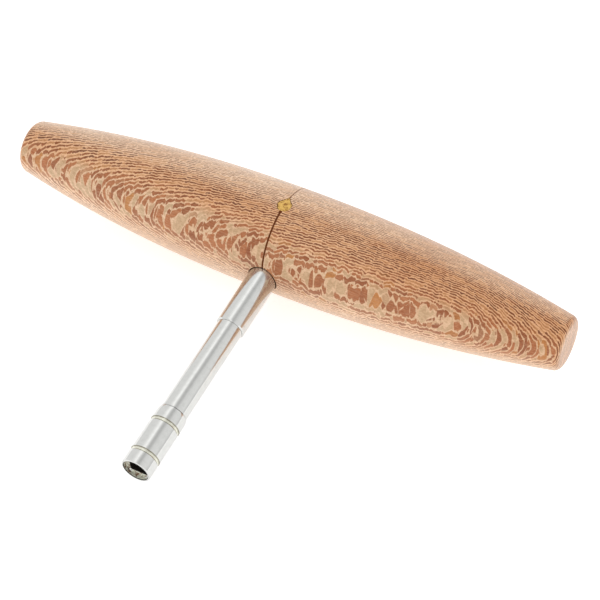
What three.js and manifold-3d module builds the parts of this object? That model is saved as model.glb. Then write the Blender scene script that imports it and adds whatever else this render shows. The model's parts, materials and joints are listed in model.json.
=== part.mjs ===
// A T-handled tuning key for square-headed string pins: a two-piece turned wooden handle on a steel
// cross bar, a chromed stem with a ferrule, a brass lock pin on the seam and a screw-on socket.
// Units are millimetres. Tool axes before the final tilt: +X along the handle, -Y down the stem,
// +Z along the lock pin, origin where the stem's axis crosses the handle's axis.

import * as THREE from "three";
import { mergeVertices } from "three/addons/utils/BufferGeometryUtils.js";
import Module from "manifold-3d";

const wasm = await Module();
wasm.setup();

// ---- Driving dimensions ---------------------------------------------------------------------

const HANDLE_LENGTH = 160;
const BELLY_RADIUS = 14.45; // at the seam, the thickest place
const TAPER_DROP = 7.33; // how much smaller the radius is at the ends
const TAPER_POWER = 2.16; // 2 would be a parabola; a little more keeps the middle fuller
const END_EDGE_RADIUS = 1.9; // rounding between the side and each flat end

const GAP = 0.3; // clearance between pieces that touch in the real tool

const CROSS_BAR_RADIUS = 4.75;
const CROSS_BAR_LENGTH = 110;
const LOCK_PIN_RADIUS = 1.9;

const SHANK_RADIUS = 3.1; // upper stem, through the cross bar and inside the ferrule
const SHANK_TOP = 8.5; // above the handle's axis
const STEM_RADIUS = 3.6;
const STEM_END = 61; // the distances below are measured down the stem from the handle's axis
const FERRULE_RADIUS = 4.0;
const FERRULE_START = 5.2;
const FERRULE_END = 32;

const STUD_RADIUS = 2.5; // an M5 screw thread, drawn plain
const STUD_LENGTH = 16;
const STUD_DEPTH = 8; // the half that is screwed into the stem

const SOCKET_RADIUS = 4.1;
const SOCKET_SHOULDER_RADIUS = 3.68; // where the rounded shoulder meets the stem
const SOCKET_SHOULDER_LENGTH = 2.4;
const TIP_REACH = 79.7; // from the handle's axis to the socket's mouth
const MOUTH_BEVEL = 0.28;
const MOUTH_RADIUS = 3.42; // round recess inside the lip
const MOUTH_DEPTH = 1.2;
const SQUARE_ACROSS = 4.9; // across the flats of the hole that takes the string pin
const SQUARE_CORNER = 0.5;
const SQUARE_DEPTH = 7.6; // below the round recess
const GROOVE_PLACES = [65.9, 75.8]; // middles of the two turned rings
const GROOVE_WIDTH = 1.0;
const GROOVE_DEPTH = 0.3;

const HANDLE_SEGMENTS = 72;
const STEEL_SEGMENTS = 48;
const PROFILE_STEPS = 16;

// ---- Colours and finishes -------------------------------------------------------------------

function finish(color, roughness, metalness) {
  return new THREE.MeshStandardMaterial({ color, roughness, metalness });
}

const WOOD = [0xcf9a6e, 0.42, 0.0];
const CHROME = [0xd4d5d6, 0.12, 1.0];
const STEEL = [0x8f9194, 0.35, 1.0];
const BRASS = [0xb8924a, 0.3, 1.0];

// ---- Turning, cutting and joining -----------------------------------------------------------

// A closed geometry as a manifold-3d solid, with coincident vertices merged.
function solidOf(geometry) {
  const bare = geometry.clone();
  bare.deleteAttribute("normal");
  bare.deleteAttribute("uv");
  const merged = mergeVertices(bare, 1e-4);
  const corners = merged.index.array;
  const faces = [];
  for (let i = 0; i < corners.length; i += 3) {
    const [a, b, c] = corners.slice(i, i + 3);
    if (a !== b && b !== c && c !== a) faces.push(a, b, c);
  }
  return new wasm.Manifold(
    new wasm.Mesh({
      numProp: 3,
      vertProperties: new Float32Array(merged.attributes.position.array),
      triVerts: new Uint32Array(faces),
    }),
  );
}

function geometryOf(solid) {
  const { vertProperties, triVerts } = solid.getMesh();
  const geometry = new THREE.BufferGeometry();
  geometry.setAttribute("position", new THREE.BufferAttribute(vertProperties, 3));
  geometry.setIndex(new THREE.BufferAttribute(triVerts, 1));
  geometry.computeVertexNormals();
  return geometry;
}

// A solid of revolution about Y. The outline is [radius, height] pairs, listed upwards.
function turned(outline, segments = STEEL_SEGMENTS) {
  const points = outline.map(([radius, height]) => new THREE.Vector2(radius, height));
  return new THREE.LatheGeometry(points, segments);
}

function rod(radius, low, high, segments = STEEL_SEGMENTS) {
  return turned([[0, low], [radius, low], [radius, high], [0, high]], segments);
}

const alongX = (geometry) => geometry.rotateZ(-Math.PI / 2);
const alongZ = (geometry) => geometry.rotateX(Math.PI / 2);

function cut(body, ...tools) {
  return tools.reduce((solid, tool) => solid.subtract(solidOf(tool)), solidOf(body));
}

// Quarter of an ellipse from one outline point to another, leaving the first one sideways.
function shoulderArc([r0, y0], [r1, y1], steps) {
  const points = [];
  for (let i = 0; i <= steps; i++) {
    const turn = (i / steps) * (Math.PI / 2);
    points.push([r0 + (r1 - r0) * Math.sin(turn), y1 + (y0 - y1) * Math.cos(turn)]);
  }
  return points;
}

// ---- The wooden handle ----------------------------------------------------------------------

const HALF_LENGTH = HANDLE_LENGTH / 2;

function spindleRadius(x) {
  return BELLY_RADIUS - TAPER_DROP * (Math.abs(x) / HALF_LENGTH) ** TAPER_POWER;
}

function spindleSlope(x) {
  return (-TAPER_DROP * TAPER_POWER * (x / HALF_LENGTH) ** (TAPER_POWER - 1)) / HALF_LENGTH;
}

// The outline of one half from the seam to its flat end, with the end's edge rounded by an arc
// that is tangent to both.
function halfOutline(start) {
  const lean = Math.atan(spindleSlope(HALF_LENGTH));
  const arcX = HALF_LENGTH - END_EDGE_RADIUS;
  const joinX = arcX - END_EDGE_RADIUS * Math.sin(lean);
  const arcRadius = spindleRadius(joinX) - END_EDGE_RADIUS * Math.cos(lean);
  const outline = [[0, start]];
  for (let i = 0; i < PROFILE_STEPS; i++) {
    const x = start + ((joinX - start) * i) / PROFILE_STEPS;
    outline.push([spindleRadius(x), x]);
  }
  const arcSteps = 5;
  for (let i = 0; i <= arcSteps; i++) {
    const turn = Math.PI / 2 + lean - ((Math.PI / 2 + lean) * i) / arcSteps;
    outline.push([
      arcRadius + END_EDGE_RADIUS * Math.sin(turn),
      arcX + END_EDGE_RADIUS * Math.cos(turn),
    ]);
  }
  outline.push([0, HALF_LENGTH]);
  return outline;
}

// One half, bored for the cross bar and notched at the seam for the ferrule, shank and lock pin.
function handleHalf() {
  const blank = alongX(turned(halfOutline(GAP / 2), HANDLE_SEGMENTS));
  const barBore = alongX(rod(CROSS_BAR_RADIUS + GAP, -1, CROSS_BAR_LENGTH / 2 + GAP));
  const ferruleHole = rod(FERRULE_RADIUS + GAP, -BELLY_RADIUS - 1, 0);
  const shankPocket = rod(SHANK_RADIUS + GAP, -1, SHANK_TOP + GAP);
  const pinHole = alongZ(rod(LOCK_PIN_RADIUS + GAP, -BELLY_RADIUS - 1, BELLY_RADIUS + 1));
  return cut(blank, barBore, ferruleHole, shankPocket, pinHole);
}

// ---- The steel and brass inside -------------------------------------------------------------

function crossBar() {
  const half = CROSS_BAR_LENGTH / 2;
  const chamfer = 0.6;
  const bar = turned([
    [0, -half],
    [CROSS_BAR_RADIUS - chamfer, -half],
    [CROSS_BAR_RADIUS, chamfer - half],
    [CROSS_BAR_RADIUS, half - chamfer],
    [CROSS_BAR_RADIUS - chamfer, half],
    [0, half],
  ]);
  const reach = CROSS_BAR_RADIUS + 1;
  const shankHole = rod(SHANK_RADIUS + GAP, -reach, reach);
  const pinHole = alongZ(rod(LOCK_PIN_RADIUS + GAP, -reach, reach));
  return cut(alongX(bar), shankHole, pinHole);
}

// The pin runs through the seam, the cross bar and the shank, and is turned flush with the handle.
function lockPin() {
  const pin = solidOf(alongZ(rod(LOCK_PIN_RADIUS, -BELLY_RADIUS - 1, BELLY_RADIUS + 1)));
  const reach = 2 * LOCK_PIN_RADIUS;
  const flush = solidOf(alongX(rod(BELLY_RADIUS - 0.03, -reach, reach, HANDLE_SEGMENTS)));
  return pin.intersect(flush);
}

// ---- The stem -------------------------------------------------------------------------------

function stem() {
  const chamfer = 0.5;
  const shoulder = FERRULE_END + GAP;
  const bar = turned([
    [0, -STEM_END],
    [STEM_RADIUS, -STEM_END],
    [STEM_RADIUS, -shoulder],
    [SHANK_RADIUS, -shoulder],
    [SHANK_RADIUS, SHANK_TOP - chamfer],
    [SHANK_RADIUS - chamfer, SHANK_TOP],
    [0, SHANK_TOP],
  ]);
  const studBore = rod(STUD_RADIUS + GAP, -STEM_END - 1, -(STEM_END - STUD_DEPTH - GAP));
  const pinHole = alongZ(rod(LOCK_PIN_RADIUS + GAP, -STEM_RADIUS - 1, STEM_RADIUS + 1));
  return cut(bar, studBore, pinHole);
}

function ferrule() {
  const edge = 0.15;
  const bar = turned([
    [0, -FERRULE_END],
    [FERRULE_RADIUS - edge, -FERRULE_END],
    [FERRULE_RADIUS, edge - FERRULE_END],
    [FERRULE_RADIUS, -FERRULE_START],
    [0, -FERRULE_START],
  ]);
  return cut(bar, rod(SHANK_RADIUS + GAP, -FERRULE_END - 1, 1 - FERRULE_START));
}

const STUD_TOP = STEM_END - STUD_DEPTH;
const STUD_END = STUD_TOP + STUD_LENGTH;

function stud() {
  const chamfer = 0.4;
  return solidOf(
    turned([
      [0, -STUD_END],
      [STUD_RADIUS - chamfer, -STUD_END],
      [STUD_RADIUS, chamfer - STUD_END],
      [STUD_RADIUS, -STUD_TOP - chamfer],
      [STUD_RADIUS - chamfer, -STUD_TOP],
      [0, -STUD_TOP],
    ]),
  );
}

// ---- The socket -----------------------------------------------------------------------------

const SOCKET_START = STEM_END + GAP;

// One turned ring: a shallow trough with sloping sides.
function grooveOutline(place) {
  const side = GROOVE_DEPTH;
  return [
    [SOCKET_RADIUS, -place - GROOVE_WIDTH / 2],
    [SOCKET_RADIUS - GROOVE_DEPTH, side - place - GROOVE_WIDTH / 2],
    [SOCKET_RADIUS - GROOVE_DEPTH, GROOVE_WIDTH / 2 - side - place],
    [SOCKET_RADIUS, GROOVE_WIDTH / 2 - place],
  ];
}

function squareHole(start, end) {
  const half = SQUARE_ACROSS / 2;
  const flat = half - SQUARE_CORNER;
  const outline = new THREE.Shape();
  const corners = [[1, 1], [-1, 1], [-1, -1], [1, -1]];
  corners.forEach(([sx, sy], i) => {
    const startTurn = (i * Math.PI) / 2;
    outline.absarc(sx * flat, sy * flat, SQUARE_CORNER, startTurn, startTurn + Math.PI / 2);
  });
  const depth = end - start;
  const hole = new THREE.ExtrudeGeometry(outline, { depth, bevelEnabled: false, curveSegments: 3 });
  return hole.rotateX(Math.PI / 2).translate(0, -start, 0);
}

function socket() {
  const lowGroove = Math.max(...GROOVE_PLACES);
  const highGroove = Math.min(...GROOVE_PLACES);
  const barrel = turned([
    [0, -TIP_REACH],
    [SOCKET_RADIUS - MOUTH_BEVEL, -TIP_REACH],
    [SOCKET_RADIUS, MOUTH_BEVEL - TIP_REACH],
    ...grooveOutline(lowGroove),
    ...grooveOutline(highGroove),
    ...shoulderArc(
      [SOCKET_SHOULDER_RADIUS, -SOCKET_START],
      [SOCKET_RADIUS, -SOCKET_START - SOCKET_SHOULDER_LENGTH],
      5,
    ).reverse(),
    [0, -SOCKET_START],
  ]);
  const studBore = rod(STUD_RADIUS + GAP, -STUD_END - GAP, 1 - SOCKET_START);
  const recess = rod(MOUTH_RADIUS, -TIP_REACH - 1, MOUTH_DEPTH - TIP_REACH);
  const recessFloor = TIP_REACH - MOUTH_DEPTH;
  const square = squareHole(recessFloor - SQUARE_DEPTH, recessFloor + 1);
  return cut(barrel, studBore, recess, square);
}

// ---- The assembly ---------------------------------------------------------------------------

// Laid on a table, the tool touches it with its belly and with the lower edge of the socket's
// mouth. This is the angle between the stem and the table then.
function restTilt() {
  const contact = TIP_REACH - MOUTH_BEVEL;
  const reach = Math.hypot(contact, SOCKET_RADIUS);
  return Math.asin(BELLY_RADIUS / reach) - Math.atan2(SOCKET_RADIUS, contact);
}

const tool = new THREE.Group();
tool.rotation.x = restTilt();

function piece(name, solid, look) {
  const mesh = new THREE.Mesh(geometryOf(solid), finish(...look));
  mesh.name = name;
  tool.add(mesh);
  return mesh;
}

const half = handleHalf();
piece("handle_right", half, WOOD);
piece("handle_left", half, WOOD).rotation.y = Math.PI;
piece("cross_bar", crossBar(), STEEL);
piece("lock_pin", lockPin(), BRASS);
piece("stem", stem(), CHROME);
piece("ferrule", ferrule(), CHROME);
piece("tip_stud", stud(), STEEL);
piece("socket", socket(), CHROME);

const part = new THREE.Group();
part.add(tool);

export default part;
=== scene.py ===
"""The looks of a T-handled tuning key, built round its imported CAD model.

A two-piece lacewood spindle on a chromed stem, a brass lock pin on the seam, and a ringed socket
for square string pins. Lengths are millimetres in the tool's own axes, which are +X along the
handle, -Y down the stem and +Z along the lock pin, unless a comment says otherwise. The tool lies
with its stem sloping down a little, so TO_FRAME carries every mesh from these axes to the frame's
metres.
"""

import json
import math

import bmesh
import bpy
from mathutils import Matrix, Vector


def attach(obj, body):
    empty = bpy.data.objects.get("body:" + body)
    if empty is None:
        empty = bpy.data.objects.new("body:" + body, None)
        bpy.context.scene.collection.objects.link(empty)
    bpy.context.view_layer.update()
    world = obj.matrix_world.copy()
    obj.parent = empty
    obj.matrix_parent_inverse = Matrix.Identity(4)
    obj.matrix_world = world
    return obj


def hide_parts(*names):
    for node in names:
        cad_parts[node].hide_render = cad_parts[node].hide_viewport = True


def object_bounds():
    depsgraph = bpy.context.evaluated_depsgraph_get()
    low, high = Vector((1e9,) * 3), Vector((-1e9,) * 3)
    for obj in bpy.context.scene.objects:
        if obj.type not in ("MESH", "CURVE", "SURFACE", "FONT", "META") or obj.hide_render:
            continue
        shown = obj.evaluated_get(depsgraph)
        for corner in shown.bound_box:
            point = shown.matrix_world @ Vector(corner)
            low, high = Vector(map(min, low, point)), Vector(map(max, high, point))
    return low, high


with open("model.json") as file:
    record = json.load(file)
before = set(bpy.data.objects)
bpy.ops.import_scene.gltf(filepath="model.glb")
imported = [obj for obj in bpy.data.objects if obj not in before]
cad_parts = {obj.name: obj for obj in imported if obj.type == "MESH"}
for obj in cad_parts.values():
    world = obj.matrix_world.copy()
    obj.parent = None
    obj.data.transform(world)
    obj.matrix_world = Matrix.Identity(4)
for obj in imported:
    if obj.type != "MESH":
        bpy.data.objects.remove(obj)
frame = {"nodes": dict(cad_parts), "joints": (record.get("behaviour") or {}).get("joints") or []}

cad_low, cad_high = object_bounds()

# ---- The tool's axes and the CAD sizes --------------------------------------------------------

MM = 0.001
JOINT = frame["joints"][0]
STEM_DIRECTION = Vector(JOINT["axis"]).normalized()
TILT = math.asin(-STEM_DIRECTION.z)
TO_FRAME = Matrix.Rotation(TILT, 4, "X") @ Matrix.Scale(MM, 4)

# Places for a shape that is made round its local Z.
ALONG_X = Matrix.Rotation(math.pi / 2, 4, "Y")
DOWN_STEM = Matrix.Rotation(math.pi / 2, 4, "X")
ALONG_Z = Matrix.Identity(4)


def tool_points(node):
    """A CAD node's vertices in the tool's axes."""
    to_tool = TO_FRAME.inverted()
    return [to_tool @ v.co for v in frame["nodes"][node].data.vertices]


def reach(node, axis):
    """The furthest that a CAD node reaches from a tool axis through the origin."""
    others = [k for k in range(3) if k != axis]
    return max(math.hypot(p[others[0]], p[others[1]]) for p in tool_points(node))


def extent(node, axis):
    """Lowest and highest coordinate of a CAD node along a tool axis."""
    values = [p[axis] for p in tool_points(node)]
    return min(values), max(values)


HALF_LENGTH = extent("handle_right", 0)[1]
BELLY_RADIUS = reach("handle_right", 0)
BAR_RADIUS = reach("cross_bar", 0)
BAR_HALF = extent("cross_bar", 0)[1]
PIN_RADIUS = reach("lock_pin", 2)
FERRULE_RADIUS = reach("ferrule", 1)
FERRULE_END = -extent("ferrule", 1)[0]
FERRULE_START = -extent("ferrule", 1)[1]
STEM_RADIUS = reach("stem", 1)
STEM_END = -extent("stem", 1)[0]
SHANK_TOP = -extent("stem", 1)[1]
STUD_RADIUS = reach("tip_stud", 1)
STUD_TOP = -extent("tip_stud", 1)[1]
STUD_END = -extent("tip_stud", 1)[0]
SOCKET_RADIUS = reach("socket", 1)
SOCKET_START = -extent("socket", 1)[1]
MOUTH = -extent("socket", 1)[0]

# ---- Finer shape than the CAD solids hold -----------------------------------------------------

CLOSE_FIT = 0.05  # how much larger a hole's radius is than that of the piece in it
LOOSE_FIT = 0.1
WOOD_FIT = 0.2  # round the ferrule, where the gap shows as a dark line
END_PLAY = 0.2  # how much deeper a hole is than the piece in it
BEYOND = 1  # how far a cutter reaches past the surface that it opens

TAPER_DROP = 7.33  # how much smaller the spindle's radius is at its ends
TAPER_POWER = 2.16
END_ROUNDING = 1.9
SEAM_EDGE = 0.06  # how far the turned edge at the seam is broken

SEAM_TIGHT = 0.07  # half the seam's width round the back
SEAM_OPEN = 0.24  # and in front, where glue shows between the ferrule and the pin
OPEN_MIDDLE = 20  # the middle of the open stretch, in degrees round the handle from stem to pin
OPEN_REACH = 92  # how far it reaches each way, in degrees
OPEN_FADE = 30  # how much of that is the change from tight to open
CHIP_PLACE = 81  # a chipped spot at the pin's edge, in degrees
CHIP_SPREAD = 1.6
CHIP_DEPTH = 0.22
GLUE_SHRINK = 0.025  # how far below the wood the glue ends
GLUE_GAP = 0.005  # between the glue and each half

POINT_LENGTH = 0.95  # the lock pin's drawn point, which follows the seam
POINT_SPREAD = math.radians(16)
POINT_STARTS = 2.5  # depth below the belly where the point begins, and where it is full
POINT_FULL = 1.0
POINT_LEVELS = (2.6, 1.8, 1.0)  # depths of the rings that shape it
PIN_DENTS = 0.05
PIN_CROWN = 0.5  # the part of the pin below the belly that follows the wood's curve

SHANK_RADIUS = 3.1
STEM_STRETCH = 0.15  # the stem ends nearer to the socket than in CAD, to leave only a thin line
SHOULDER_RADIUS = 3.68
SHOULDER_LENGTH = 1.8
RING_PLACES = (65.7, 75.45)
RING_WIDTH = 1.1
RING_DEPTH = 0.26
LIP_BEVEL = 0.28
RECESS_RADIUS = 3.42
RECESS_DEPTH = 1.2
SQUARE_ACROSS = 4.9
SQUARE_CORNER = 0.5
SQUARE_DEPTH = 7.6
DRILL_RADIUS = 2.1
DRILL_POINT = 0.7
THREAD_PITCH = 0.8
THREAD_DEPTH = 0.45

SHARP_FROM = math.radians(35)  # an edge that turns more than this stays crisp
WELD = 0.0002  # corners nearer than this are one


def spindle_radius(x):
    return BELLY_RADIUS - TAPER_DROP * (abs(x) / HALF_LENGTH) ** TAPER_POWER


def seam_half_width(y, z):
    """Widest where glue shows between the ferrule and the pin, with a chipped spot at the pin's
    edge, and tight all the way round the back."""
    turn = math.degrees(math.atan2(z, -y))
    open_share = max(0.0, min(1.0, (OPEN_REACH - abs(turn - OPEN_MIDDLE)) / OPEN_FADE))
    chip = CHIP_DEPTH * math.exp(-((turn - CHIP_PLACE) / CHIP_SPREAD) ** 2)
    return SEAM_TIGHT + (SEAM_OPEN - SEAM_TIGHT) * open_share + chip


# ---- Mesh tools -------------------------------------------------------------------------------


def rounded(corners, steps=6):
    """An outline through (radius, height, rounding) corners, each corner turned into an arc."""
    points = []
    for i, (radius, height, rounding) in enumerate(corners):
        corner = Vector((radius, height))
        if rounding == 0 or i in (0, len(corners) - 1):
            points.append(tuple(corner))
            continue
        back = (Vector(corners[i - 1][:2]) - corner).normalized()
        ahead = (Vector(corners[i + 1][:2]) - corner).normalized()
        half_angle = back.angle(ahead) / 2
        centre = corner + (back + ahead).normalized() * (rounding / math.sin(half_angle))
        first = corner + back * (rounding / math.tan(half_angle)) - centre
        sweep = math.pi - 2 * half_angle
        turn_sign = 1 if back.cross(ahead) < 0 else -1
        for k in range(steps + 1):
            turned_by = Matrix.Rotation(turn_sign * sweep * k / steps, 2)
            points.append(tuple(centre + turned_by @ first))
    return points


def solid_from(name, mesh, place):
    """Wraps a bmesh in the tool's axes as an object in the frame's metres."""
    mesh.transform(TO_FRAME @ place)
    bmesh.ops.recalc_face_normals(mesh, faces=mesh.faces)
    data = bpy.data.meshes.new(name)
    mesh.to_mesh(data)
    mesh.free()
    piece = bpy.data.objects.new(name, data)
    bpy.context.scene.collection.objects.link(piece)
    return piece


def skin(mesh, rings, closed=False):
    """Faces between neighbouring rings of vertices; a ring of one vertex closes to a point."""
    pairs = list(zip(rings, rings[1:]))
    if closed:
        pairs.append((rings[-1], rings[0]))
    for low, high in pairs:
        count = max(len(low), len(high))
        for i in range(count):
            j = (i + 1) % count
            below = (low[i % len(low)], low[j % len(low)])
            above = (high[j % len(high)], high[i % len(high)])
            unique = list(dict.fromkeys(below + above))
            if len(unique) > 2:
                mesh.faces.new(unique)


def turned(name, outline, segments=128, place=DOWN_STEM, closed=False, shape=None):
    """A solid of revolution about local Z from (radius, height) points. shape may move a vertex."""
    mesh = bmesh.new()
    rings = []
    for radius, height in outline:
        if radius < 1e-6:
            ring = [(0.0, 0.0, height)]
        else:
            turns = [2 * math.pi * i / segments for i in range(segments)]
            ring = [(radius * math.cos(t), radius * math.sin(t), height) for t in turns]
        rings.append([mesh.verts.new(shape(*p) if shape else p) for p in ring])
    skin(mesh, rings, closed)
    return solid_from(name, mesh, place)


def rod(radius, low, high, place=DOWN_STEM, segments=96):
    """A plain round cutter from height low to height high."""
    return turned("cutter", [(0, low), (radius, low), (radius, high), (0, high)], segments, place)


def triangulate(piece):
    """Leaves flat faces only, which the exact cuts need."""
    mesh = bmesh.new()
    mesh.from_mesh(piece.data)
    bmesh.ops.triangulate(mesh, faces=mesh.faces)
    mesh.to_mesh(piece.data)
    mesh.free()


def carve(piece, *cutters):
    """Cuts the cutters out of the piece and deletes them, then welds the doubled corners that this
    can leave."""
    triangulate(piece)
    for cutter in cutters:
        triangulate(cutter)
        step = piece.modifiers.new("cut", "BOOLEAN")
        step.operation = "DIFFERENCE"
        step.solver = "EXACT"
        step.object = cutter
    settled = piece.evaluated_get(bpy.context.evaluated_depsgraph_get())
    data = bpy.data.meshes.new_from_object(settled)
    piece.modifiers.clear()
    piece.data = data
    mesh = bmesh.new()
    mesh.from_mesh(data)
    bmesh.ops.remove_doubles(mesh, verts=mesh.verts, dist=WELD * MM)
    mesh.to_mesh(data)
    mesh.free()
    for cutter in cutters:
        bpy.data.objects.remove(cutter)


def finished(piece, body, material, slot, *nodes):
    """Smooth shading with crisp edges, the material, and the piece's place among the CAD bodies."""
    piece.data.shade_smooth()
    piece.data.set_sharp_from_angle(angle=SHARP_FROM)
    piece.data.materials.clear()
    piece.data.materials.append(material)
    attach(piece, body)
    if nodes:
        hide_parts(*nodes)
    return piece


# ---- Node materials ---------------------------------------------------------------------------


class Shade:
    """A node material being built. Each method adds a node and returns an output of it."""

    def __init__(self, name):
        self.material = bpy.data.materials.new(name)
        self.material.use_nodes = True
        self.tree = self.material.node_tree
        self.surface = self.tree.nodes["Principled BSDF"]
        self.object = self.add("ShaderNodeTexCoord").outputs["Object"]

    def add(self, kind, inputs=None, **settings):
        node = self.tree.nodes.new(kind)
        for key, value in settings.items():
            setattr(node, key, value)
        for key, value in (inputs or {}).items():
            self.feed(node.inputs[key], value)
        return node

    def feed(self, socket, value):
        if isinstance(value, bpy.types.NodeSocket):
            self.tree.links.new(value, socket)
        else:
            socket.default_value = value

    def set(self, **values):
        """Sets inputs of the surface shader, named with _ for each space."""
        for key, value in values.items():
            self.feed(self.surface.inputs[key.replace("_", " ")], value)

    def math(self, operation, *values):
        node = self.tree.nodes.new("ShaderNodeMath")
        node.operation = operation
        for socket, value in zip(node.inputs, values):
            self.feed(socket, value)
        return node.outputs[0]

    def step(self, value, low, high, start=0.0, end=1.0):
        """A smooth step from start at low to end at high."""
        inputs = {"Value": value, "From Min": low, "From Max": high, "To Min": start, "To Max": end}
        node = self.add("ShaderNodeMapRange", inputs, interpolation_type="SMOOTHSTEP")
        return node.outputs["Result"]

    def dot(self, vector, direction):
        inputs = {0: vector, 1: direction}
        return self.add("ShaderNodeVectorMath", inputs, operation="DOT_PRODUCT").outputs["Value"]

    def in_millimetres(self, turn_about_x=0.0):
        """The place on the object, turned about the handle's axis."""
        return self.scaled(self.object, (1 / MM, 1 / MM, 1 / MM), (turn_about_x, 0, 0))

    def scaled(self, vector, scale, rotation=(0, 0, 0), location=(0, 0, 0)):
        inputs = {"Vector": vector, "Scale": scale, "Rotation": rotation, "Location": location}
        return self.add("ShaderNodeMapping", inputs).outputs["Vector"]

    def noise(self, vector, scale=1.0, detail=2.0, roughness=0.5):
        inputs = {"Vector": vector, "Scale": scale, "Detail": detail, "Roughness": roughness}
        return self.add("ShaderNodeTexNoise", inputs).outputs["Fac"]

    def mix(self, share, first, second, blend="MIX"):
        """A colour between first and second. The node's colour sockets are 6 and 7."""
        node = self.add("ShaderNodeMix", data_type="RGBA", blend_type=blend)
        self.feed(node.inputs[0], share)
        self.feed(node.inputs[6], first)
        self.feed(node.inputs[7], second)
        return node.outputs[2]

    def bump(self, height, distance, strength=1.0, normal=None):
        inputs = {"Height": height, "Distance": distance, "Strength": strength}
        if normal is not None:
            inputs["Normal"] = normal
        return self.add("ShaderNodeBump", inputs).outputs["Normal"]


def tone(red, green, blue):
    """A linear colour from 0-255 display values."""
    def linear(value):
        value /= 255
        return value / 12.92 if value <= 0.04045 else ((value + 0.055) / 1.055) ** 2.4
    return (linear(red), linear(green), linear(blue), 1.0)


SHEETS_INSIDE = 1.5  # sheets of ray cells to a millimetre at the heart of the handle
SHEETS_GROWTH = 0.04  # they crowd together towards the surface
FLECK_LENGTH = 2.7  # along the handle
FLECK_HEIGHT = 8.0  # along the ray
SHEET_OFFSET = 7.3  # between neighbouring sheets, so that their flecks don't line up
RIPPLE = 0.72  # how far short waves shift the sheets
BARE_SHARE = 0.23  # how many cells hold no fleck
ORANGE_SHARE = 0.05


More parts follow.
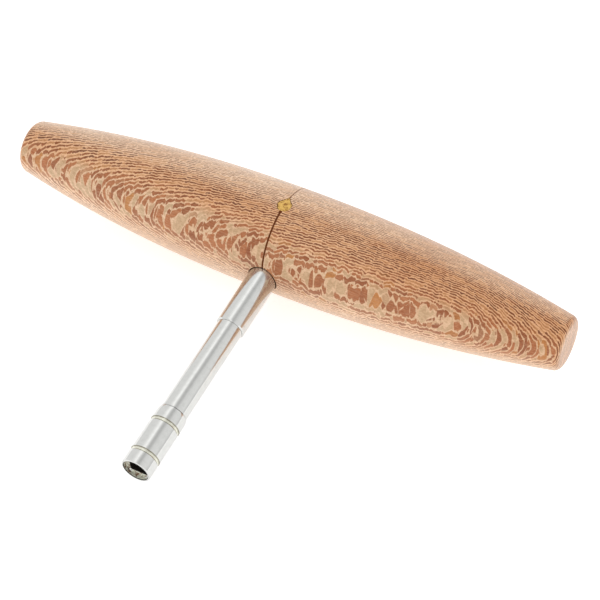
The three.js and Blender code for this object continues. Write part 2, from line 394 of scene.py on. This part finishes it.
def lacewood(name, fleck_turn, runout, bow, wander_by, pale_from, seed):
    """Wood sawn so that its sheets of ray cells face fleck_turn degrees above the stem. They run
    out of line with the handle by a slope of runout, bow away by bow millimetres near its end, and
    wander by up to wander_by. A surface parallel to the sheets shows broad brown flecks in pale
    outlines, and one across them shows rows of wavy lines. The wood is painted paler on both flanks
    and on its end grain, a painted sheen that stands in for grazing reflections and light from the
    floor; above, it starts from pale_from on a scale that ends with 1 where the surface is square to
    the sheets."""
    s = Shade(name)
    facing = math.radians(fleck_turn)
    to_frame = TO_FRAME.to_3x3().normalized()
    sheet_normal = to_frame @ Vector((0, -math.cos(facing), math.sin(facing)))
    ray = to_frame @ Vector((0, math.sin(facing), math.cos(facing)))
    normal = s.add("ShaderNodeTexCoord").outputs["Normal"]
    parallel = s.math("ABSOLUTE", s.dot(normal, sheet_normal))
    flat_cut = s.step(parallel, 0.86, 0.98)
    flank = s.dot(normal, ray)
    # Painted sheen: the upper and lower flanks and the end grain turn paler, standing in for grazing
    # reflections and light from the floor.
    sheen_above = s.step(flank, pale_from, 1.06, 0, 0.54)
    sheen_below = s.step(flank, -0.12, -0.7, 0, 0.56)
    end_grain_sheen = s.step(s.math("ABSOLUTE", s.dot(normal, (1, 0, 0))), 0.7, 0.98, 0, 0.25)
    painted_sheen = s.math("MAXIMUM", s.math("ADD", sheen_above, sheen_below), end_grain_sheen)

    # Where a point lies among the sheets, once they are bent and shaken.
    grain = s.in_millimetres(facing - TILT)
    strewn = s.scaled(grain, (1, 1, 1), location=(seed, seed, 0))
    wander = s.noise(s.scaled(strewn, (0.03, 0.07, 0.07)), detail=1.0)
    ripple = s.noise(s.scaled(strewn, (0.62, 0.6, 0.12)), detail=1.0)
    grit = s.noise(s.scaled(strewn, (1.6, 3.0, 1.6)), detail=2.0)
    along, across, deep = s.add("ShaderNodeSeparateXYZ", {"Vector": grain}).outputs
    near_end = s.step(s.math("ABSOLUTE", along), 0.65 * HALF_LENGTH, 1.08 * HALF_LENGTH)
    grit_by = s.math("MULTIPLY_ADD", flat_cut, -0.08, 0.1)
    shifted = across
    shifts = ((along, -runout), (near_end, bow), (wander, wander_by), (ripple, RIPPLE), (grit, grit_by))
    for wave, amount in shifts:
        shifted = s.math("MULTIPLY_ADD", wave, amount, shifted)
    crowding = s.math("MULTIPLY_ADD", s.math("ABSOLUTE", shifted), SHEETS_GROWTH, SHEETS_INSIDE)
    layer = s.math("MULTIPLY", shifted, crowding)
    off_middle = s.math("ABSOLUTE", s.math("SUBTRACT", s.math("FRACT", layer), 0.5))

    # Each sheet is split into cells. A fleck fills its cell but for a thin edge.
    cell_inputs = {
        0: s.math("DIVIDE", s.math("ADD", along, seed), FLECK_LENGTH),
        1: s.math("MULTIPLY", s.math("FLOOR", layer), SHEET_OFFSET),
        2: s.math("DIVIDE", deep, FLECK_HEIGHT),
    }
    voronoi = {"Vector": s.add("ShaderNodeCombineXYZ", cell_inputs).outputs[0], "Scale": 1.0}
    flecks = s.add("ShaderNodeTexVoronoi", voronoi)
    edges = s.add("ShaderNodeTexVoronoi", voronoi, feature="DISTANCE_TO_EDGE")
    chances = s.add("ShaderNodeSeparateColor", {"Color": flecks.outputs["Color"]}).outputs
    full_thickness = s.math("MULTIPLY_ADD", flat_cut, 0.1, 0.32)
    full_thickness = s.math("ADD", full_thickness, s.step(grit, 0.35, 0.65, -0.05, 0.03))
    half_thickness = s.step(edges.outputs["Distance"], 0.0, 0.06, 0.1, full_thickness)
    in_cell = s.step(s.math("SUBTRACT", half_thickness, off_middle), -0.03, 0.07)

    between = s.mix(flat_cut, tone(234, 186, 144), tone(228, 194, 160))
    # Painted sheen: the ground between the flecks turns paler on the flanks and the end grain.
    between = s.mix(s.math("MULTIPLY", painted_sheen, 2.0), between, tone(252, 220, 188))
    bare = s.mix(flat_cut, tone(192, 136, 88), tone(206, 174, 138))
    edge_on = s.mix(chances[1], tone(100, 44, 6), tone(142, 76, 24))
    face_on = s.mix(chances[1], tone(150, 82, 40), tone(184, 114, 68))
    orange = s.step(chances[2], 0.99 - ORANGE_SHARE, 1.01 - ORANGE_SHARE, 0.0, 0.7)
    face_on = s.mix(orange, face_on, tone(200, 136, 68))
    fleck = s.mix(s.step(parallel, 0.74, 0.96), edge_on, face_on)
    # Painted sheen: the flecks turn a little paler there too.
    fleck = s.mix(s.math("MULTIPLY", painted_sheen, 0.45), fleck, tone(204, 144, 94))
    filling = s.mix(s.step(chances[0], BARE_SHARE - 0.03, BARE_SHARE + 0.03), bare, fleck)

    fibre = s.noise(s.scaled(strewn, (0.3, 5.0, 5.0)), detail=3.0, roughness=0.65)
    mottle = s.noise(s.scaled(strewn, (1.2, 2.2, 2.2)), detail=3.0, roughness=0.7)
    cloud = s.noise(s.scaled(strewn, (0.03, 0.08, 0.08)), detail=2.0)
    # The handle's upper right is a little darker than the rest.
    outwards = s.step(along, 0.0, 45.0, 0.0, 0.45)
    upper_right = s.math("MULTIPLY", outwards, s.step(flank, -0.3, 0.5, 0.2, 1.0))
    colour = s.mix(in_cell, between, filling)
    colour = s.mix(s.step(fibre, 0.35, 0.75, 0.0, 0.3), colour, between)
    colour = s.mix(s.step(mottle, 0.36, 0.66, 0.0, 0.8), colour, tone(224, 212, 200), "MULTIPLY")
    colour = s.mix(s.step(cloud, 0.35, 0.7, 0.0, 0.5), colour, tone(240, 222, 202), "MULTIPLY")
    colour = s.mix(upper_right, colour, tone(238, 218, 196), "MULTIPLY")
    # Painted sheen: the whole colour turns paler on the flanks and the end grain.
    colour = s.mix(s.math("MULTIPLY", painted_sheen, 0.4), colour, tone(250, 224, 198))
    height = s.math("MULTIPLY_ADD", in_cell, -0.5, fibre)
    s.set(
        Base_Color=colour,
        Roughness=s.step(in_cell, 0.0, 1.0, 0.5, 0.4),
        Specular_IOR_Level=0.2,
        Coat_Weight=0.3,
        Coat_Roughness=0.25,
        Sheen_Weight=0.22,
        Sheen_Roughness=0.35,
        Sheen_Tint=(1.0, 0.94, 0.88, 1.0),
        Normal=s.bump(height, 0.04 * MM, 0.35),
    )
    return s.material


def plated(name, colour, roughness):
    """Bright metal: fine turning lines round the stem, soft waviness and a few rubbed patches."""
    s = Shade(name)
    turning_axes = s.in_millimetres(-TILT)
    lines = s.noise(s.scaled(turning_axes, (0.3, 9.0, 0.3)), detail=2.0)
    waves = s.noise(s.scaled(turning_axes, (0.4, 0.12, 0.4)), detail=1.0)
    rubbed = s.noise(turning_axes, 0.8, detail=4.0, roughness=0.65)
    s.set(
        Base_Color=s.mix(s.step(rubbed, 0.4, 0.75), colour, [0.94 * c for c in colour[:3]] + [1.0]),
        Metallic=1.0,
        Roughness=s.step(rubbed, 0.3, 0.8, roughness, roughness * 1.5),
        Normal=s.bump(lines, 0.004 * MM, 0.3, s.bump(waves, 0.06 * MM, 0.5)),
    )
    return s.material


def ring_grime_and_shade():
    """Old polish dried in the turned rings, pale yellow; both edges of each ring are darkened with
    painted shade, where the ring's walls would be in shadow.
    """
    s = Shade("ring_grime_and_shade")
    turning_axes = s.in_millimetres(-TILT)
    up_stem = s.add("ShaderNodeSeparateXYZ", {"Vector": turning_axes}).outputs[1]
    from_rings = [s.math("ABSOLUTE", s.math("ADD", up_stem, place)) for place in RING_PLACES]
    off_centre = s.math("MINIMUM", *from_rings)
    patches = s.noise(turning_axes, 1.1, detail=3.0)
    off_centre = s.math("MULTIPLY_ADD", patches, 0.45, off_centre)
    # Painted shade: darker towards both edges of each ring.
    colour = s.mix(s.step(off_centre, 0.42, 0.68), tone(222, 221, 206), tone(140, 136, 120))
    s.set(
        Base_Color=colour,
        Metallic=0.85,
        Roughness=s.step(patches, 0.3, 0.7, 0.2, 0.35),
        Normal=s.bump(patches, 0.05 * MM, 0.5),
    )
    return s.material


def sanded_brass():
    """Brass sanded flush with the wood: fine scratches one way, and darker specks."""
    s = Shade("sanded_brass")
    place = s.in_millimetres()
    scratch = s.noise(s.scaled(place, (1.2, 14.0, 1.0), (0, 0, 0.5)), detail=3.0)
    speck = s.noise(place, 0.9, detail=4.0, roughness=0.75)
    colour = s.mix(s.step(speck, 0.44, 0.6), tone(218, 178, 100), tone(146, 100, 50))
    s.set(
        Base_Color=colour,
        Metallic=0.85,
        Roughness=s.step(scratch, 0.3, 0.7, 0.28, 0.5),
        Normal=s.bump(scratch, 0.03 * MM, 0.6),
    )
    return s.material


def glue():
    """Dark dried glue, dull and uneven."""
    s = Shade("dried_glue")
    lumps = s.noise(s.in_millimetres(), 0.9, detail=3.0)
    s.set(
        Base_Color=s.mix(lumps, tone(78, 36, 12), tone(116, 62, 26)),
        Roughness=s.step(lumps, 0.3, 0.7, 0.5, 0.7),
        Specular_IOR_Level=0.1,
        Normal=s.bump(lumps, 0.1 * MM, 0.6),
    )
    return s.material


def bare_steel():
    """The unplated inside of the socket, a little stained and duller than the outside."""
    s = Shade("bare_steel")
    place = s.in_millimetres()
    stain = s.noise(place, 0.9, detail=4.0, roughness=0.7)
    grit = s.noise(place, 6.0, detail=2.0)
    colour = s.mix(s.step(stain, 0.47, 0.62), tone(222, 224, 208), tone(132, 104, 82))
    s.set(
        Base_Color=colour,
        Metallic=0.35,
        Roughness=s.step(stain, 0.3, 0.7, 0.3, 0.5),
        Normal=s.bump(grit, 0.04 * MM, 0.5),
    )
    return s.material


def painted_dark_hole():
    """The broached square hole, painted nearly black as shade. The same painted shade draws the dark
    lines along the lip's inner edge and where the socket meets the stem.
    """
    s = Shade("painted_dark_hole")
    place = s.in_millimetres()
    blotches = s.noise(place, 1.5, detail=3.0)
    s.set(
        Base_Color=s.mix(blotches, tone(16, 14, 12), tone(52, 46, 40)),
        Metallic=0.3,
        Roughness=s.step(blotches, 0.3, 0.7, 0.4, 0.6),
        Normal=s.bump(blotches, 0.04 * MM, 0.5),
    )
    return s.material


FLOOR_GLOW = 0.85  # a light table: it lifts the shadows and whitens the ground


def floor_paint():
    s = Shade("studio_floor")
    mottle = s.noise(s.object, 30.0, detail=3.0)
    pale = s.mix(mottle, (0.68, 0.68, 0.68, 1), (0.72, 0.72, 0.72, 1))
    s.set(Base_Color=pale, Roughness=0.6, Emission_Color=pale, Emission_Strength=FLOOR_GLOW)
    return s.material


# ---- The wooden handle ------------------------------------------------------------------------


def spindle_outline():
    """One half's (radius, distance from the seam) outline, rounded at its end by an arc that leaves
    the taper along its slope there."""
    lean = math.atan(-TAPER_DROP * TAPER_POWER / HALF_LENGTH)
    arc_x = HALF_LENGTH - END_ROUNDING
    join_x = arc_x - END_ROUNDING * math.sin(lean)
    arc_radius = spindle_radius(join_x) - END_ROUNDING * math.cos(lean)
    outline = [
        (0, 0),
        (BELLY_RADIUS - SEAM_EDGE, 0),
        (BELLY_RADIUS - SEAM_EDGE / 4, SEAM_EDGE / 3),
        (BELLY_RADIUS, SEAM_EDGE * 4 / 3),
    ]
    rows = 84
    for i in range(1, rows):
        x = join_x * i / rows
        outline.append((spindle_radius(x), x))
    arc_steps = 12
    sweep = math.pi / 2 + lean
    for i in range(arc_steps + 1):
        turn = sweep * (1 - i / arc_steps)
        radius = arc_radius + END_ROUNDING * math.sin(turn)
        outline.append((radius, arc_x + END_ROUNDING * math.cos(turn)))
    outline.append((0, HALF_LENGTH))
    return outline


def pin_reach(turn, height):
    """How far the lock pin's side is from its axis. Near the top a drawn point follows the seam."""
    depth = BELLY_RADIUS - height
    near_top = max(0.0, min(1.0, (POINT_STARTS - depth) / (POINT_STARTS - POINT_FULL)))
    point = POINT_LENGTH * math.exp(-((turn / POINT_SPREAD) ** 2))
    dent = PIN_DENTS * math.sin(5 * turn + 0.6)
    return PIN_RADIUS + near_top * (point + dent)


def pin_shape(name, grow, levels):
    """The lock pin or, grown a little, the cutter for its hole. levels are the (height, share of
    the full width) of its rings from bottom to top. The pin's own ends follow the wood's curve."""
    mesh = bmesh.new()
    segments = 96
    rings = []
    for height, share in levels:
        ring = []
        for i in range(segments):
            turn = 2 * math.pi * i / segments
            signed = (turn + math.pi) % (2 * math.pi) - math.pi
            side = share * (pin_reach(signed, height) + grow)
            x, y = -side * math.sin(turn), side * math.cos(turn)
            z = height
            if grow == 0 and abs(height) > BELLY_RADIUS - PIN_CROWN:
                belly = math.sqrt(spindle_radius(x) ** 2 - y * y)
                z = math.copysign(belly - (BELLY_RADIUS - abs(height)), height)
            ring.append(mesh.verts.new((x, y, z)))
        rings.append(ring)
    skin(mesh, rings)
    for ring in (rings[0], rings[-1]):
        mesh.faces.new(ring)
    return solid_from(name, mesh, ALONG_Z)


def pin_hole():
    edge = BELLY_RADIUS + BEYOND
    heights = [-edge, *(BELLY_RADIUS - depth for depth in POINT_LEVELS), edge]
    return pin_shape("cutter", LOOSE_FIT, [(height, 1) for height in heights])


def seam_cutters():
    """Cutters for the pin, the stem's shank and the ferrule, which all pass through the seam."""
    return [
        pin_hole(),
        rod(SHANK_RADIUS + LOOSE_FIT, SHANK_TOP - END_PLAY, BEYOND),
        rod(FERRULE_RADIUS + WOOD_FIT, 0, BELLY_RADIUS + BEYOND),
    ]


def handle_half(name, side, material, node):
    """Half of the spindle, on the side given as 1 for right or -1 for left."""
    def open_seam(x, y, z):
        """In the lathe's own axes z runs along the handle and x is downwards."""
        return (x, y, z + seam_half_width(y, -x) if z < 2 * SEAM_EDGE else z)

    mirror = Matrix.Scale(side, 4, Vector((1, 0, 0)))
    half = turned(name, spindle_outline(), 192, mirror @ ALONG_X, shape=open_seam)
    bar_end = BAR_HALF + END_PLAY
    carve(half, *seam_cutters(), rod(BAR_RADIUS + LOOSE_FIT, -bar_end, bar_end, ALONG_X))
    return finished(half, "tee", material, "lacewood", node)


def glue_line():
    """A ring that fills the seam to just under the surface, round the metal that crosses it."""
    def fill_seam(x, y, z):
        return (x, y, math.copysign(seam_half_width(y, -x) - GLUE_GAP, z))

    rim = BELLY_RADIUS - GLUE_SHRINK
    hole = BAR_RADIUS + LOOSE_FIT
    outline = [(hole, -1), (rim, -1), (rim, 1), (hole, 1)]
    ring = turned("glue_line", outline, 192, ALONG_X, closed=True, shape=fill_seam)
    carve(ring, *seam_cutters())
    return finished(ring, "tee", glue(), "lacewood")


# ---- Brass and steel --------------------------------------------------------------------------


def lock_pin():
    """A pin right through the handle. Each end is given from its middle out, as (share of the full
    width, depth below the wood)."""
    end = ((0.02, 0.02), (0.3, 0.02), (0.6, 0.03), (0.85, 0.04), (0.96, 0.06), (1.0, 0.12))
    side_depth = 0.6
    top = BELLY_RADIUS
    low_end = [(depth - top, share) for share, depth in end]
    high_end = [(top - depth, share) for share, depth in reversed(end)]
    sides = [(side_depth - top, 1.0), *((top - depth, 1.0) for depth in (*POINT_LEVELS, side_depth))]
    pin = pin_shape("pin_brass", 0.0, low_end + sides + high_end)
    return finished(pin, "tee", sanded_brass(), "brass", "lock_pin")


def cross_bar(steel):
    chamfer = 0.6
    rounding = 0.1
    corners = [
        (0, -BAR_HALF, 0),
        (BAR_RADIUS - chamfer, -BAR_HALF, rounding),
        (BAR_RADIUS, chamfer - BAR_HALF, rounding),
        (BAR_RADIUS, BAR_HALF - chamfer, rounding),
        (BAR_RADIUS - chamfer, BAR_HALF, rounding),
        (0, BAR_HALF, 0),
    ]
    bar = turned("bar_steel", rounded(corners, 3), 96, ALONG_X)
    far = BAR_RADIUS + BEYOND
    shank_hole = rod(SHANK_RADIUS + CLOSE_FIT, -far, far)
    carve(bar, shank_hole, rod(PIN_RADIUS + LOOSE_FIT, -far, far, ALONG_Z))
    return finished(bar, "tee", steel, "steel", "cross_bar")


def ferrule(chrome):
    bore = SHANK_RADIUS + CLOSE_FIT
    chamfer = 0.3
    corners = [
        (bore, FERRULE_START, 0),
        (FERRULE_RADIUS, FERRULE_START, 0.1),
        (FERRULE_RADIUS, FERRULE_END - chamfer, 0.08),
        (FERRULE_RADIUS - chamfer, FERRULE_END, 0.05),
        (bore, FERRULE_END, 0),
    ]
    tube = turned("ferrule_chrome", rounded(corners), 160, closed=True)
    return finished(tube, "tee", chrome, "chrome", "ferrule")


def stem(chrome):
    """The bar with its thinner shank, which goes up through the ferrule and the cross bar, and the
    bore for the stud in its lower end."""
    step = FERRULE_END + 0.01
    end = STEM_END + STEM_STRETCH
    bore = STUD_RADIUS + LOOSE_FIT
    bore_top = STUD_TOP - LOOSE_FIT
    corners = [
        (0, SHANK_TOP, 0),
        (SHANK_RADIUS, SHANK_TOP, 0.4),
        (SHANK_RADIUS, step, 0),
        (STEM_RADIUS, step, 0.05),
        (STEM_RADIUS, end, 0.12),
        (bore, end, 0.1),
        (bore, bore_top, 0),
        (0, bore_top, 0),
    ]
    bar = turned("stem_chrome", rounded(corners), 160)
    far = STEM_RADIUS + BEYOND
    carve(bar, rod(PIN_RADIUS + CLOSE_FIT, -far, far, ALONG_Z))
    return finished(bar, "tee", chrome, "chrome", "stem")


def threaded_stud(steel):
    """A screw stud: the radius follows a thread with flattened crests and fades at both ends."""
    mesh = bmesh.new()
    segments = 72
    rows_per_turn = 10
    rows = int((STUD_END - STUD_TOP) / THREAD_PITCH * rows_per_turn)
    rings = [[mesh.verts.new((0, 0, STUD_TOP))]]
    for row in range(rows + 1):
        height = STUD_TOP + (STUD_END - STUD_TOP) * row / rows
        from_end = min(height - STUD_TOP, STUD_END - height)
        ring = []
        for i in range(segments):
            turn = 2 * math.pi * i / segments
            phase = (height / THREAD_PITCH - i / segments) % 1.0
            valley = 1 - abs(2 * phase - 1)
            radius = STUD_RADIUS - THREAD_DEPTH * min(1.0, max(0.0, valley * 1.25 - 0.12))
            radius = min(radius, STUD_RADIUS - THREAD_DEPTH + from_end)
            ring.append(mesh.verts.new((radius * math.cos(turn), radius * math.sin(turn), height)))
        rings.append(ring)
    rings.append([mesh.verts.new((0, 0, STUD_END))])
    skin(mesh, rings)
    stud = solid_from("stud_thread", mesh, DOWN_STEM)
    return finished(stud, "tee", steel, "steel", "tip_stud")


# ---- The socket -------------------------------------------------------------------------------


def ring_arc(place):
    """A turned ring: a hollow of constant curvature with softened edges."""
    half = RING_WIDTH / 2
    curve = (half * half + RING_DEPTH * RING_DEPTH) / (2 * RING_DEPTH)
    sweep = math.asin(half / curve)
    points = []
    steps = 12
    for i in range(steps + 1):
        turn = sweep * (2 * i / steps - 1)
        depth = RING_DEPTH - curve * (1 - math.cos(turn))
        points.append((SOCKET_RADIUS - depth, place + curve * math.sin(turn), 0))
    return points


def shoulder_arc():
    """Part of an ellipse that ends level at the socket's full size."""
    steps = 10
    first = math.radians(30)
    rise = SOCKET_RADIUS - SHOULDER_RADIUS
    points = []
    for i in range(steps + 1):
        turn = first + (math.pi / 2 - first) * i / steps
        height = SOCKET_START + SHOULDER_LENGTH * (math.cos(first) - math.cos(turn))
        points.append((SHOULDER_RADIUS + rise * math.sin(turn), height, 0))
    return points


def square_cutter():
    """A rounded square, opened by a small chamfer where it meets the recess."""
    mesh = bmesh.new()
    chamfer = 0.14
    above = 0.5
    recess_floor = MOUTH - RECESS_DEPTH
    flat = SQUARE_ACROSS / 2 - SQUARE_CORNER
    quarter_turn = math.pi / 2
    corner_steps = 8
    stations = [
        (recess_floor + above, above + chamfer),
        (recess_floor - chamfer, 0.0),
        (recess_floor - SQUARE_DEPTH, 0.0),
    ]
    rings = []
    for height, grow in stations:
        arm = SQUARE_CORNER + grow
        ring = []
        for quarter in range(4):
            diagonal = (quarter + 0.5) * quarter_turn
            cx = math.copysign(flat, math.cos(diagonal))
            cy = math.copysign(flat, math.sin(diagonal))
            for k in range(corner_steps + 1):
                turn = (quarter + k / corner_steps) * quarter_turn
                corner = (cx + arm * math.cos(turn), cy + arm * math.sin(turn), height)
                ring.append(mesh.verts.new(corner))
        rings.append(ring)
    skin(mesh, rings)
    mesh.faces.new(rings[0])
    mesh.faces.new(rings[-1])
    return solid_from("cutter", mesh, DOWN_STEM)


PLATED, BARE, PAINTED_DARK, GRIME_AND_SHADE = range(4)  # the socket's materials, in the order of their slots


def socket_surface(radius, down):
    """Which of the socket's materials its surface has at this radius, this far down the stem.
    The small allowances take in the rounded edges."""
    # Painted shade: a dark line along the lip's inner edge and another where the socket meets the stem.
    at_lip = radius < RECESS_RADIUS + 0.15 and down > MOUTH - 0.17
    at_stem = down < SOCKET_START + 0.12
    if at_lip or at_stem:
        return PAINTED_DARK
    # Inside, the recess is bare steel; the square hole below it is painted dark as shade.
    if radius < RECESS_RADIUS + 0.02:
        return BARE if down > MOUTH - RECESS_DEPTH - 0.1 else PAINTED_DARK
    near_ring = min(abs(down - ring) for ring in RING_PLACES) < RING_WIDTH
    # The turned rings carry dried polish, with painted shade at their edges.
    return GRIME_AND_SHADE if near_ring and radius < SOCKET_RADIUS - 0.02 else PLATED


def socket(chrome):
    bore = STUD_RADIUS + 0.15
    bore_end = STUD_END + END_PLAY
    recess_floor = MOUTH - RECESS_DEPTH
    corners = [
        (0, bore_end, 0),
        (bore, bore_end, 0),
        (bore, SOCKET_START, 0.15),
        *shoulder_arc(),
        *(point for place in RING_PLACES for point in ring_arc(place)),
        (SOCKET_RADIUS, MOUTH, LIP_BEVEL),
        (RECESS_RADIUS, MOUTH, 0.18),
        (RECESS_RADIUS, recess_floor, 0.08),
        (0, recess_floor, 0),
    ]
    barrel = turned("socket_chrome", rounded(corners), 160)
    drill_end = recess_floor - SQUARE_DEPTH
    drill_outline = [
        (0, recess_floor),
        (DRILL_RADIUS, recess_floor),
        (DRILL_RADIUS, drill_end),
        (0, drill_end - DRILL_POINT),
    ]
    carve(barrel, square_cutter(), turned("cutter", drill_outline, 96))
    finished(barrel, "tip", chrome, "chrome", "socket")
    for inner in (bare_steel(), painted_dark_hole(), ring_grime_and_shade()):
        barrel.data.materials.append(inner)
    to_tool = TO_FRAME.inverted()
    for face in barrel.data.polygons:
        centre = to_tool @ face.center
        radius = math.hypot(centre.x, centre.z)
        face.material_index = socket_surface(radius, -centre.y)
    return barrel


# ---- Studio -----------------------------------------------------------------------------------

CAMERA_AZIMUTH = math.radians(27.96)
CAMERA_ELEVATION = math.radians(45.97)
CAMERA_DISTANCE = 0.5565  # metres
CAMERA_LENS = 126.7
CAMERA_TARGET = Vector((0.00807, -0.00851, -0.01092))  # metres
FLOOR_SIZE = 3.0  # metres


def make_camera():
    back = Vector((
        math.sin(CAMERA_AZIMUTH) * math.cos(CAMERA_ELEVATION),
        -math.cos(CAMERA_AZIMUTH) * math.cos(CAMERA_ELEVATION),
        math.sin(CAMERA_ELEVATION),
    ))
    camera = bpy.data.objects.new("camera", bpy.data.cameras.new("camera"))
    bpy.context.scene.collection.objects.link(camera)
    camera.data.lens = CAMERA_LENS
    camera.data.sensor_width = 36
    camera.data.clip_start = 0.01
    camera.location = CAMERA_TARGET + back * CAMERA_DISTANCE
    camera.rotation_euler = (-back).to_track_quat("-Z", "Y").to_euler()
    bpy.context.scene.camera = camera


def make_floor():
    """Low enough for the socket to clear it when it is unscrewed down the sloping stem."""
    mesh = bmesh.new()
    bmesh.ops.create_grid(mesh, x_segments=8, y_segments=8, size=FLOOR_SIZE)
    data = bpy.data.meshes.new("studio_floor")
    mesh.to_mesh(data)
    mesh.free()
    floor = bpy.data.objects.new("studio_floor", data)
    floor.location.z = cad_low.z - JOINT["range_m"][1] * math.sin(TILT)
    data.materials.append(floor_paint())
    bpy.context.scene.collection.objects.link(floor)


# The tent's brightness at an angle round the stem, in degrees from straight above towards +X.
TENT_BANDS = (
    (-180, 1.0),
    (-90, 0.98),
    (-38, 1.0),
    (-24, 1.2),
    (-15, 1.38),
    (-8, 1.3),
    (1, 0.86),
    (10, 0.68),
    (19, 0.7),
    (32, 0.92),
    (42, 0.97),
    (66, 1.02),
    (80, 0.98),
    (87, 0.82),
    (96, 0.88),
    (110, 1.0),
)


def make_world():
    """A white tent: even light all round, a brighter strip overhead and a darker gap beside it."""
    world = bpy.data.worlds.new("studio")
    bpy.context.scene.world = world
    world.use_nodes = True
    tree = world.node_tree
    coordinate = tree.nodes.new("ShaderNodeTexCoord")
    turn = tree.nodes.new("ShaderNodeMapping")
    turn.inputs["Rotation"].default_value = (-TILT, 0, 0)
    parts = tree.nodes.new("ShaderNodeSeparateXYZ")
    angle = tree.nodes.new("ShaderNodeMath")
    angle.operation = "ARCTAN2"
    share = tree.nodes.new("ShaderNodeMath")
    share.operation = "MULTIPLY_ADD"
    share.inputs[1].default_value = 0.5 / math.pi
    share.inputs[2].default_value = 0.5
    bands = tree.nodes.new("ShaderNodeValToRGB")
    tree.links.new(coordinate.outputs["Generated"], turn.inputs["Vector"])
    tree.links.new(turn.outputs["Vector"], parts.inputs["Vector"])
    tree.links.new(parts.outputs["X"], angle.inputs[0])
    tree.links.new(parts.outputs["Z"], angle.inputs[1])
    tree.links.new(angle.outputs[0], share.inputs[0])
    tree.links.new(share.outputs[0], bands.inputs["Fac"])
    tree.links.new(bands.outputs["Color"], tree.nodes["Background"].inputs["Color"])
    elements = bands.color_ramp.elements
    elements.remove(elements[1])
    for i, (degrees, level) in enumerate(TENT_BANDS):
        position = degrees / 360 + 0.5
        element = elements[0] if i == 0 else elements.new(position)
        element.position = position
        element.color = (level, level, level, 1)


def main():
    make_camera()
    make_world()
    make_floor()
    bpy.context.scene.view_settings.view_transform = "Standard"

    chrome = plated("bright_chrome", (0.655, 0.658, 0.64, 1.0), 0.11)
    steel = plated("plain_steel", (0.5, 0.5, 0.51, 1.0), 0.25)
    # The halves differ in where the painted sheen starts on the upper flank.
    right_wood = lacewood(
        "lacewood_right", fleck_turn=25, runout=0.07, bow=4.5, wander_by=1.2, pale_from=0.85, seed=40
    )
    left_wood = lacewood(
        "lacewood_left", fleck_turn=32, runout=0.09, bow=0.0, wander_by=0.8, pale_from=0.71, seed=90
    )
    handle_half("handle_right_turned", 1, right_wood, "handle_right")
    handle_half("handle_left_turned", -1, left_wood, "handle_left")
    glue_line()
    lock_pin()
    cross_bar(steel)
    ferrule(chrome)
    stem(chrome)
    threaded_stud(steel)
    socket(chrome)


main()
